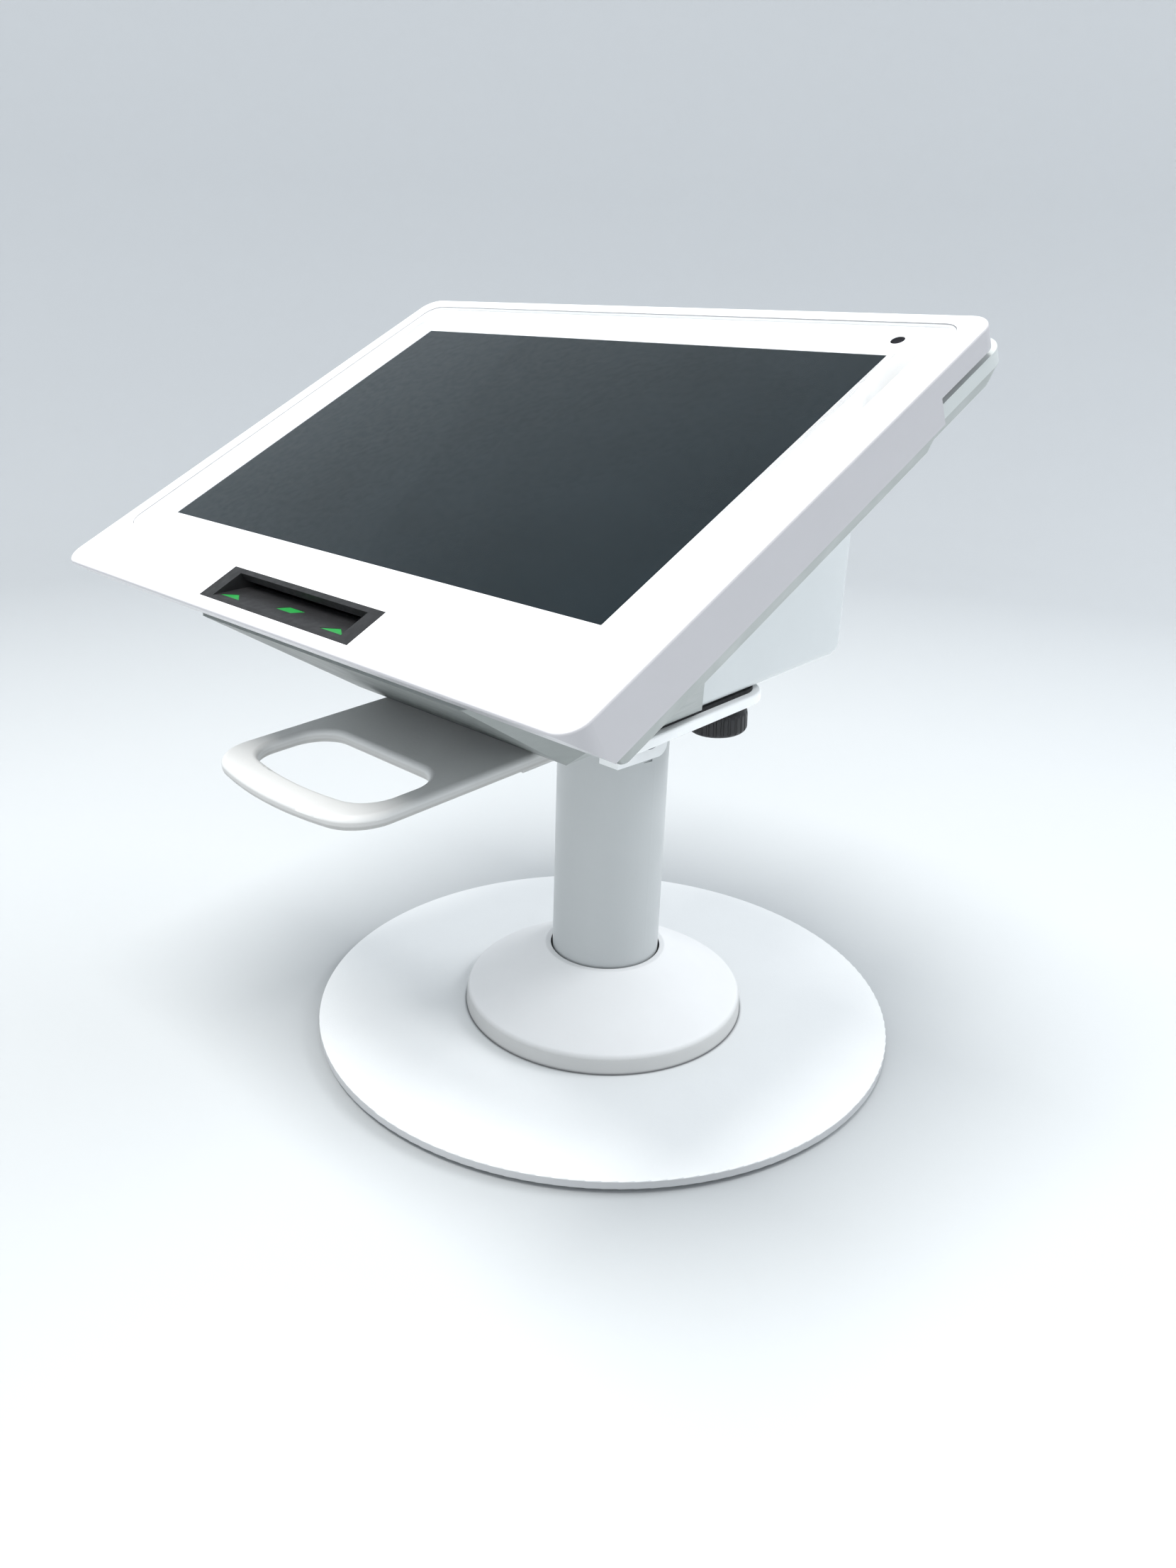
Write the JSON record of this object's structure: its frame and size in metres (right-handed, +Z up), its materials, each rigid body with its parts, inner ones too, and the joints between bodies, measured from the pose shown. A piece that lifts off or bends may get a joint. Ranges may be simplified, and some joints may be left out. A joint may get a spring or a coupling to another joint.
{
  "type": "payment terminal on pole stand",
  "caption": "Touchscreen payment terminal with card slot, swipe groove and built-in receipt printer, on a swivelling, tilting pole stand with a hand grip and round base.",
  "frame": {"origin": "centre of the round base on the counter it stands on", "axes": "+Z up, -Y towards the customer in front of the screen, +X to the customer's right"},
  "size_m": [0.21, 0.2236, 0.2289],
  "materials": {
    "white_bezel_paint": "gloss",
    "white_shell": "satin",
    "white_housing": "gloss",
    "cover_glass": "polished",
    "mask_ink": "gloss",
    "display": "gloss",
    "zinc_sheet": "brushed",
    "dark_plastic": "satin",
    "slot_plastic": "satin",
    "green_lights": "gloss",
    "gold_contacts": "polished",
    "powder_white": "satin powder coat",
    "pole_paint": "satin powder coat",
    "cover_plastic": "satin",
    "steel": "brushed",
    "black_steel": "black oxide",
    "nylon": "matt",
    "rubber": "matt",
    "knob_plastic": "satin",
    "brass": "turned",
    "die_cast": "as cast",
    "board": "satin",
    "paper": "matt",
    "card_tube": "matt",
    "key_plastic": "satin",
    "ceramic": "glazed"
  },
  "bodies": {
    "base": {"base_pads": "rubber", "base_plate": "powder_white", "plate_screws": "steel", "swivel_housing": "die_cast", "swivel_bush": "nylon", "thrust_washers": "nylon", "base_cover": "cover_plastic"},
    "pole": {"pole_foot": "steel", "pole_tube": "pole_paint", "pole_knuckle": "die_cast"},
    "head": {"tilt_yoke": "powder_white", "tilt_bolt": "black_steel", "tilt_nut": "steel", "friction_discs": "nylon", "mounting_tray": "powder_white", "tray_screws": "steel", "foot_gasket": "rubber", "handle": "powder_white", "foot_inserts": "brass", "front_bezel": "white_bezel_paint", "cover_glass": "cover_glass", "glass_mask": "mask_ink", "lcd_panel": "display", "display_chassis": "zinc_sheet", "camera_module": "dark_plastic", "card_slot_frame": "slot_plastic", "card_lights": "green_lights", "card_reader": "dark_plastic", "card_contacts": "gold_contacts", "magstripe_head": "steel", "printer_housing": "white_housing", "door_hinge_pin": "steel", "gear_plate": "zinc_sheet", "stepper_motor": "zinc_sheet", "print_head": "die_cast", "print_strip": "ceramic", "head_rail": "zinc_sheet", "tear_bar": "steel", "main_board": "board", "shield_cans": "zinc_sheet", "rear_shell": "white_shell", "shell_screws": "steel", "speaker": "dark_plastic", "rear_connectors": "zinc_sheet"},
    "thumbscrew_right": {"thumb_knob_right": "knob_plastic", "thumb_stud_right": "steel"},
    "thumbscrew_left": {"thumb_knob_left": "knob_plastic", "thumb_stud_left": "steel"},
    "lid": {"paper_door": "white_housing", "platen_bushes": "nylon"},
    "platen": {"platen_roller": "rubber", "platen_shaft": "steel", "platen_gear": "nylon"},
    "idler": {"idler_gear": "nylon"},
    "motor_rotor": {"motor_pinion": "brass", "motor_shaft": "steel"},
    "roll": {"paper_roll": "paper", "paper_core": "card_tube"},
    "power_key": {"power_button": "key_plastic"},
    "release_key": {"door_release_button": "key_plastic"}
  },
  "joints": [
    {"name": "swivel", "type": "hinge", "parent": "base", "child": "pole", "pos_m": [0, 0, 0.02], "axis": [0, 0, 1], "range_deg": [-165, 165]},
    {"name": "tilt", "type": "hinge", "parent": "pole", "child": "head", "pos_m": [0, -0.0093, 0.11], "axis": [1, 0, 0], "range_deg": [-25, 20]},
    {"name": "thumbscrew_right_spin", "type": "hinge", "parent": "head", "child": "thumbscrew_right", "pos_m": [0.0318, 0.01187, 0.11441], "axis": [0, -0.0698, 0.9976], "continuous": true},
    {"name": "thumbscrew_left_spin", "type": "hinge", "parent": "head", "child": "thumbscrew_left", "pos_m": [-0.0318, 0.01187, 0.11441], "axis": [0, -0.0698, 0.9976], "continuous": true},
    {"name": "paper_lid", "type": "hinge", "parent": "head", "child": "lid", "pos_m": [0, 0.05487, 0.18558], "axis": [-1, 0, 0], "range_deg": [0, 75]},
    {"name": "platen_spin", "type": "hinge", "parent": "lid", "child": "platen", "pos_m": [0, 0.0204, 0.1974], "axis": [1, 0, 0], "continuous": true},
    {"name": "idler_spin", "type": "hinge", "parent": "head", "child": "idler", "pos_m": [0.0335, 0.01699, 0.18747], "axis": [1, 0, 0], "continuous": true},
    {"name": "motor_spin", "type": "hinge", "parent": "head", "child": "motor_rotor", "pos_m": [0.0335, 0.01, 0.18181], "axis": [1, 0, 0], "continuous": true},
    {"name": "paper_roll_spin", "type": "hinge", "parent": "head", "child": "roll", "pos_m": [0, 0.0324, 0.16195], "axis": [1, 0, 0], "continuous": true},
    {"name": "power_press", "type": "slide", "parent": "head", "child": "power_key", "axis": [1, 0, 0], "range_m": [0, 0.0008], "stiffness_N_per_m": 20},
    {"name": "release_press", "type": "slide", "parent": "head", "child": "release_key", "axis": [1, 0, 0], "range_m": [0, 0.0008], "stiffness_N_per_m": 20}
  ],
  "couplings": [
    {"joint": "platen_spin", "follows": "paper_roll_spin", "ratio": 4.4444},
    {"joint": "idler_spin", "follows": "paper_roll_spin", "ratio": -3.3333},
    {"joint": "motor_spin", "follows": "paper_roll_spin", "ratio": 6.6667}
  ]
}
